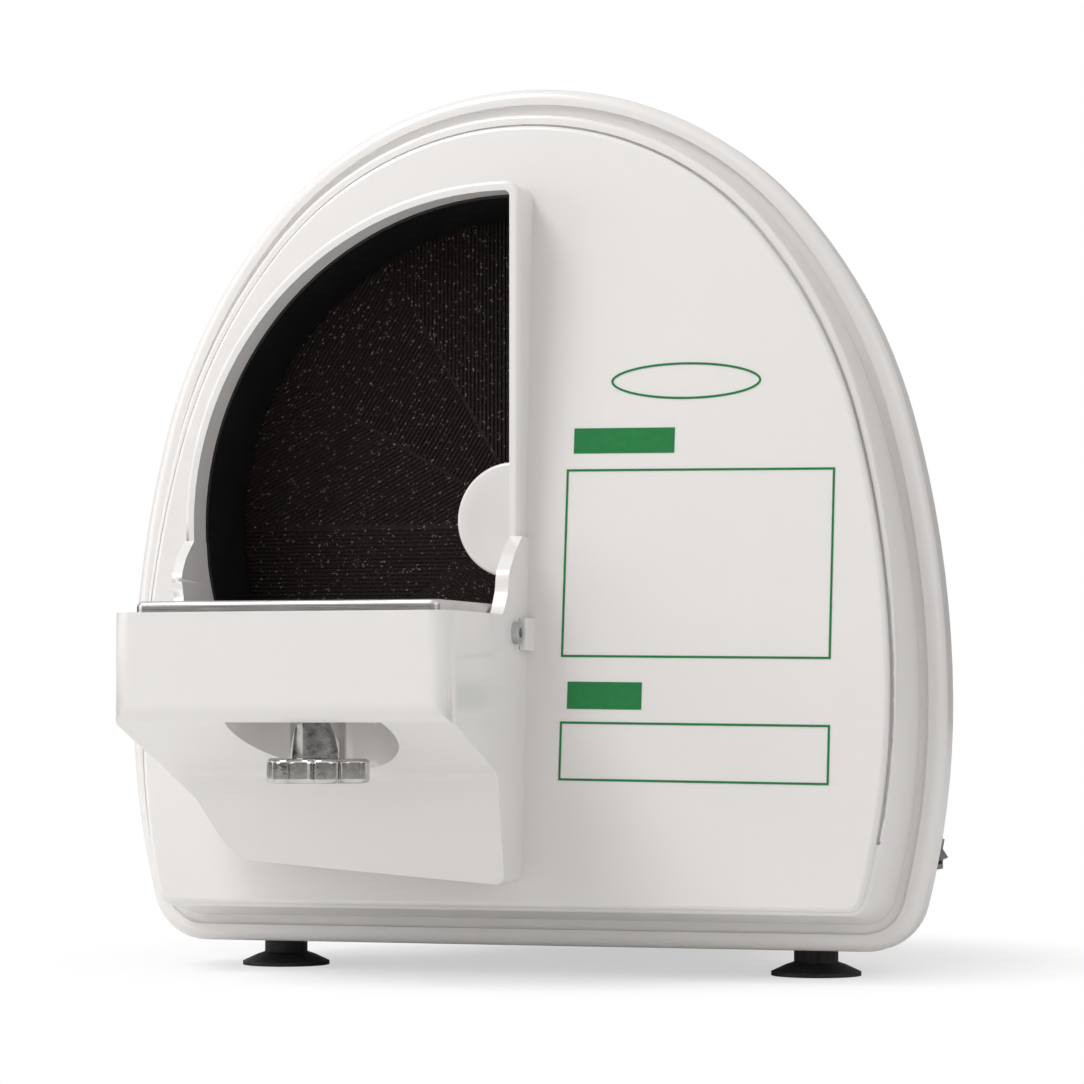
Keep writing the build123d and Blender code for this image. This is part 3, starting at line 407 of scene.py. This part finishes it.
def chord(offset_across, tilt, start, end):
    """Where a line crosses a sector: its two ends along the line, or None where it misses."""
    along = Vector((math.cos(tilt), math.sin(tilt)))
    across = Vector((-math.sin(tilt), math.cos(tilt)))
    origin = across * offset_across
    reach = DISC_RADIUS - RIM_CLEARANCE
    if abs(offset_across) >= reach:
        return None
    half = math.sqrt(reach ** 2 - offset_across ** 2)
    low, high = -half, half
    for angle, side in ((start, 1), (end, -1)):
        normal = Vector((-math.sin(angle), math.cos(angle))) * side
        rate = normal.dot(along)
        gap = LAND / 2 - normal.dot(origin)
        if abs(rate) < 1e-9:
            if gap > 0:
                return None
        elif rate > 0:
            low = max(low, gap / rate)
        else:
            high = min(high, gap / rate)
    return (low, high) if high - low > SHORTEST_RIDGE else None


copies = []
lines = int(DISC_RADIUS / RIDGE_PITCH)
for sector in range(SECTORS):
    start = math.radians(90 + sector * 360 / SECTORS)
    end = start + math.radians(360 / SECTORS)
    tilt = math.radians(SECTOR_TILTS[sector % 3] + (sector // 3) * 90)
    for line in range(-lines, lines + 1):
        ends = chord(line * RIDGE_PITCH, tilt, start, end)
        if ends is None:
            continue
        middle, length = (ends[0] + ends[1]) / 2, ends[1] - ends[0]
        x = math.cos(tilt) * middle - math.sin(tilt) * line * RIDGE_PITCH
        z = math.sin(tilt) * middle + math.cos(tilt) * line * RIDGE_PITCH
        place = (Matrix.Translation((x, at(DISC_FRONT + RIDGE_HEIGHT / 2), AXIS_HEIGHT + z))
                 @ Matrix.Rotation(math.pi / 2, 4, "X") @ Matrix.Rotation(tilt, 4, "Z")
                 @ Matrix.Diagonal((length, RIDGE_FOOT, RIDGE_HEIGHT, 1)))
        copy = bpy.data.objects.new("ridge", ridge.data.copy())
        copy.data.transform(place)
        bpy.context.scene.collection.objects.link(copy)
        copies.append(copy)
bpy.data.objects.remove(ridge)
bpy.ops.object.select_all(action="DESELECT")
for copy in copies:
    copy.select_set(True)
grit_disc.select_set(True)
bpy.context.view_layer.objects.active = grit_disc
bpy.ops.object.join()
bpy.ops.object.shade_smooth_by_angle(angle=math.radians(30))
grit_disc.data.materials.clear()
grit_disc.data.materials.append(grit)
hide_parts("abrasive_disc")
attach(grit_disc, "spindle")
print("ridges on the disc:", len(copies), "faces:", len(grit_disc.data.polygons))

# %% [markdown]
# The printed frames are bare of any words here: an oval, two title bars and two boxes, in the places of
# the real print. Each is a flat shape given a film's thickness and laid on the face, which leans back by
# four degrees. The open ones are first inset to leave a thin line. The list gives each one's kind, its
# place across and its height on the face, its width, how tall it is, and whether its middle is open.
# All are turned by a little under a degree, because level lines didn't match the picture's slopes.

# %% Printed frames on the face
INK = 0.00012
LINE = 0.0009
PRINT_TURN = math.radians(-0.7)


def lay_on_face(piece, x, height):
    """Stands a flat piece up against the leaning face, centred at that place."""
    piece.matrix_world = (Matrix.Translation((x, face_y(height) - INK * 0.5, height))
                          @ Matrix.Rotation(math.pi / 2 - FACE_LEAN, 4, "X")
                          @ Matrix.Rotation(PRINT_TURN, 4, "Z"))
    settle(piece)
    piece.data.materials.clear()
    piece.data.materials.append(print_green)
    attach(piece, "housing")


def film(piece, outline_only):
    """Opens the middle of a flat piece, if asked, and gives it the thickness of ink."""
    activate(piece)
    bpy.ops.object.transform_apply(location=True, rotation=True, scale=True)
    bpy.ops.object.mode_set(mode="EDIT")
    bpy.ops.mesh.select_all(action="SELECT")
    if outline_only:
        bpy.ops.mesh.inset(thickness=LINE)
        bpy.ops.mesh.delete(type="FACE")
    bpy.ops.mesh.select_all(action="SELECT")
    bpy.ops.mesh.extrude_region_move(TRANSFORM_OT_translate={"value": (0, 0, INK)})
    bpy.ops.mesh.select_all(action="SELECT")
    bpy.ops.mesh.normals_make_consistent(inside=False)
    bpy.ops.object.mode_set(mode="OBJECT")


PRINTS = {
    "print_oval": ("oval", 0.0742, 0.2413, 0.0625, 0.0150, True),
    "print_title": ("bar", 0.0488, 0.2175, 0.0422, 0.0103, False),
    "print_box": ("bar", 0.0800, 0.1674, 0.1113, 0.0765, True),
    "print_note_title": ("bar", 0.0424, 0.1143, 0.0311, 0.0110, False),
    "print_note_box": ("bar", 0.0795, 0.0914, 0.1112, 0.0238, True),
}
for name, (kind, x, height, width, tall, open_middle) in PRINTS.items():
    bpy.ops.object.select_all(action="DESELECT")
    if kind == "oval":
        bpy.ops.mesh.primitive_circle_add(vertices=96, radius=0.5, fill_type="NGON")
    else:
        bpy.ops.mesh.primitive_plane_add(size=1.0)
    mark = bpy.context.object
    mark.name = name
    mark.scale = (width, tall, 1.0)
    film(mark, open_middle)
    lay_on_face(mark, x, height)
print("printed frames:", len(PRINTS))

# %% [markdown]
# The machine stands on a white studio sweep, which isn't part of the object. Seen by the camera, the
# sheet is a mixture of white board, which takes the soft shadows of the feet, and the plain white of the
# backdrop. The backdrop's share grows with the distance from the machine, so there is no horizon.

# %% Studio sweep
SHADOW_NEAR = 0.12
SHADOW_FAR = 0.26
BACKDROP_LEAST = 0.55
SHEET_WIDTH = 12.0
sweep_white, shader = finish("sweep_white", (0.92, 0.92, 0.92), 0.6)
tint(sweep_white, shader, grain(sweep_white, 3.0), (0.915, 0.915, 0.915), (0.925, 0.925, 0.925))
board = sweep_white.node_tree.nodes["Principled BSDF"].outputs["BSDF"]
backdrop = add(sweep_white, "ShaderNodeEmission", Strength=1.0)
place = add(sweep_white, "ShaderNodeTexCoord")
reach = add(sweep_white, "ShaderNodeVectorMath")
reach.operation = "LENGTH"
join(sweep_white, place.outputs["Object"], reach.inputs[0])
fade = add(sweep_white, "ShaderNodeMapRange", From_Min=SHADOW_NEAR, From_Max=SHADOW_FAR,
           To_Min=BACKDROP_LEAST, To_Max=1.0)
fade.interpolation_type = "SMOOTHSTEP"
join(sweep_white, reach.outputs["Value"], fade.inputs["Value"])
path = add(sweep_white, "ShaderNodeLightPath")
share = add(sweep_white, "ShaderNodeMath")
share.operation = "MULTIPLY"
join(sweep_white, fade.outputs["Result"], share.inputs[0])
join(sweep_white, path.outputs["Is Camera Ray"], share.inputs[1])
sheet = add(sweep_white, "ShaderNodeMixShader")
join(sweep_white, share.outputs["Value"], sheet.inputs["Fac"])
join(sweep_white, board, sheet.inputs[1])
join(sweep_white, backdrop.outputs["Emission"], sheet.inputs[2])
surface = sweep_white.node_tree.nodes["Material Output"].inputs["Surface"]
join(sweep_white, sheet.outputs["Shader"], surface)

bpy.ops.object.select_all(action="DESELECT")
bpy.ops.mesh.primitive_plane_add(size=SHEET_WIDTH, location=(0, 0, 0))
floor = bpy.context.object
floor.name = "studio_floor"
floor.data.materials.append(sweep_white)

# %% [markdown]
# The light is plain and soft, as in a product picture: a panel high on the left, a weaker one at each
# side, and a white room around them. Polished metal also needs something dark to mirror, so in mirror
# images the room is dark near the floor and grows light above.

# %% Lamps and room
ROOM_LIGHT = 0.5
MIRRORED_LOW = 0.04
MIRRORED_HIGH = 0.8


def panel(name, place, aim, size, power):
    """A soft square lamp that faces a point."""
    lamp = bpy.data.lights.new(name, "AREA")
    lamp.shape = "SQUARE"
    lamp.size = size
    lamp.energy = power
    holder = bpy.data.objects.new(name, lamp)
    holder.location = place
    holder.rotation_euler = (Vector(aim) - Vector(place)).to_track_quat("-Z", "Y").to_euler()
    bpy.context.scene.collection.objects.link(holder)


panel("panel_top", (-0.9, -1.0, 1.9), (0, 0, 0.15), 0.9, 24.0)
panel("panel_left", (-1.9, -1.2, 0.7), (0, 0, 0.2), 1.2, 9.0)
panel("panel_right", (1.9, -0.9, 0.8), (0, 0, 0.2), 1.2, 5.0)

world = bpy.data.worlds.new("white_room")
bpy.context.scene.world = world
world.use_nodes = True
tree = world.node_tree
room = tree.nodes["Background"]
room.inputs["Color"].default_value = (1.0, 0.985, 0.975, 1.0)
room.inputs["Strength"].default_value = ROOM_LIGHT


def background(strength):
    """A plain room of that brightness."""
    plain_room = tree.nodes.new("ShaderNodeBackground")
    plain_room.inputs["Color"].default_value = (1.0, 1.0, 1.0, 1.0)
    plain_room.inputs["Strength"].default_value = strength
    return plain_room.outputs["Background"]


def choose(factor, first, second):
    """The first room where the factor is 0 and the second where it is 1."""
    mixed_room = tree.nodes.new("ShaderNodeMixShader")
    tree.links.new(factor, mixed_room.inputs["Fac"])
    tree.links.new(first, mixed_room.inputs[1])
    tree.links.new(second, mixed_room.inputs[2])
    return mixed_room.outputs["Shader"]


path = tree.nodes.new("ShaderNodeLightPath")
direction = tree.nodes.new("ShaderNodeTexCoord")
apart = tree.nodes.new("ShaderNodeSeparateXYZ")
tree.links.new(direction.outputs["Generated"], apart.inputs["Vector"])
height = tree.nodes.new("ShaderNodeMapRange")
height.inputs["From Min"].default_value = 0.05
height.inputs["From Max"].default_value = 0.45
tree.links.new(apart.outputs["Z"], height.inputs["Value"])
mirrored = choose(height.outputs["Result"], background(MIRRORED_LOW), background(MIRRORED_HIGH))
lit = choose(path.outputs["Is Glossy Ray"], room.outputs["Background"], mirrored)
final = choose(path.outputs["Is Camera Ray"], lit, background(1.0))
tree.links.new(final, tree.nodes["World Output"].inputs["Surface"])

# %% [markdown]
# The photographer stood a little to the right of the machine, lower than its middle, with a long lens.
# The place, the aim and the lens were fitted to edges of the model that the picture also shows. The
# upward tilt is the least certain of them: the edges gave from one degree down to three and a half up,
# and 2.7 degrees up is a compromise.

# %% Camera
FOCAL_LENGTH_IN_PIXELS = 3670.0
PICTURE_WIDTH_IN_PIXELS = 1084.0
SENSOR_WIDTH = 36.0
AZIMUTH = math.radians(16.9)
RISE = math.radians(2.7)
DISTANCE = 1.516
TARGET = Vector((0.0076, -0.108, 0.1779))
camera_data = bpy.data.cameras.new("camera")
camera_data.sensor_width = SENSOR_WIDTH
camera_data.lens = FOCAL_LENGTH_IN_PIXELS / PICTURE_WIDTH_IN_PIXELS * SENSOR_WIDTH
camera = bpy.data.objects.new("camera", camera_data)
look = Vector((-math.sin(AZIMUTH) * math.cos(RISE), math.cos(AZIMUTH) * math.cos(RISE), math.sin(RISE)))
camera.location = TARGET - look * DISTANCE
camera.rotation_euler = look.to_track_quat("-Z", "Y").to_euler()
bpy.context.scene.collection.objects.link(camera)
bpy.context.scene.camera = camera
bpy.context.scene.view_settings.view_transform = "Standard"
print("camera at", [round(v, 3) for v in camera.location])
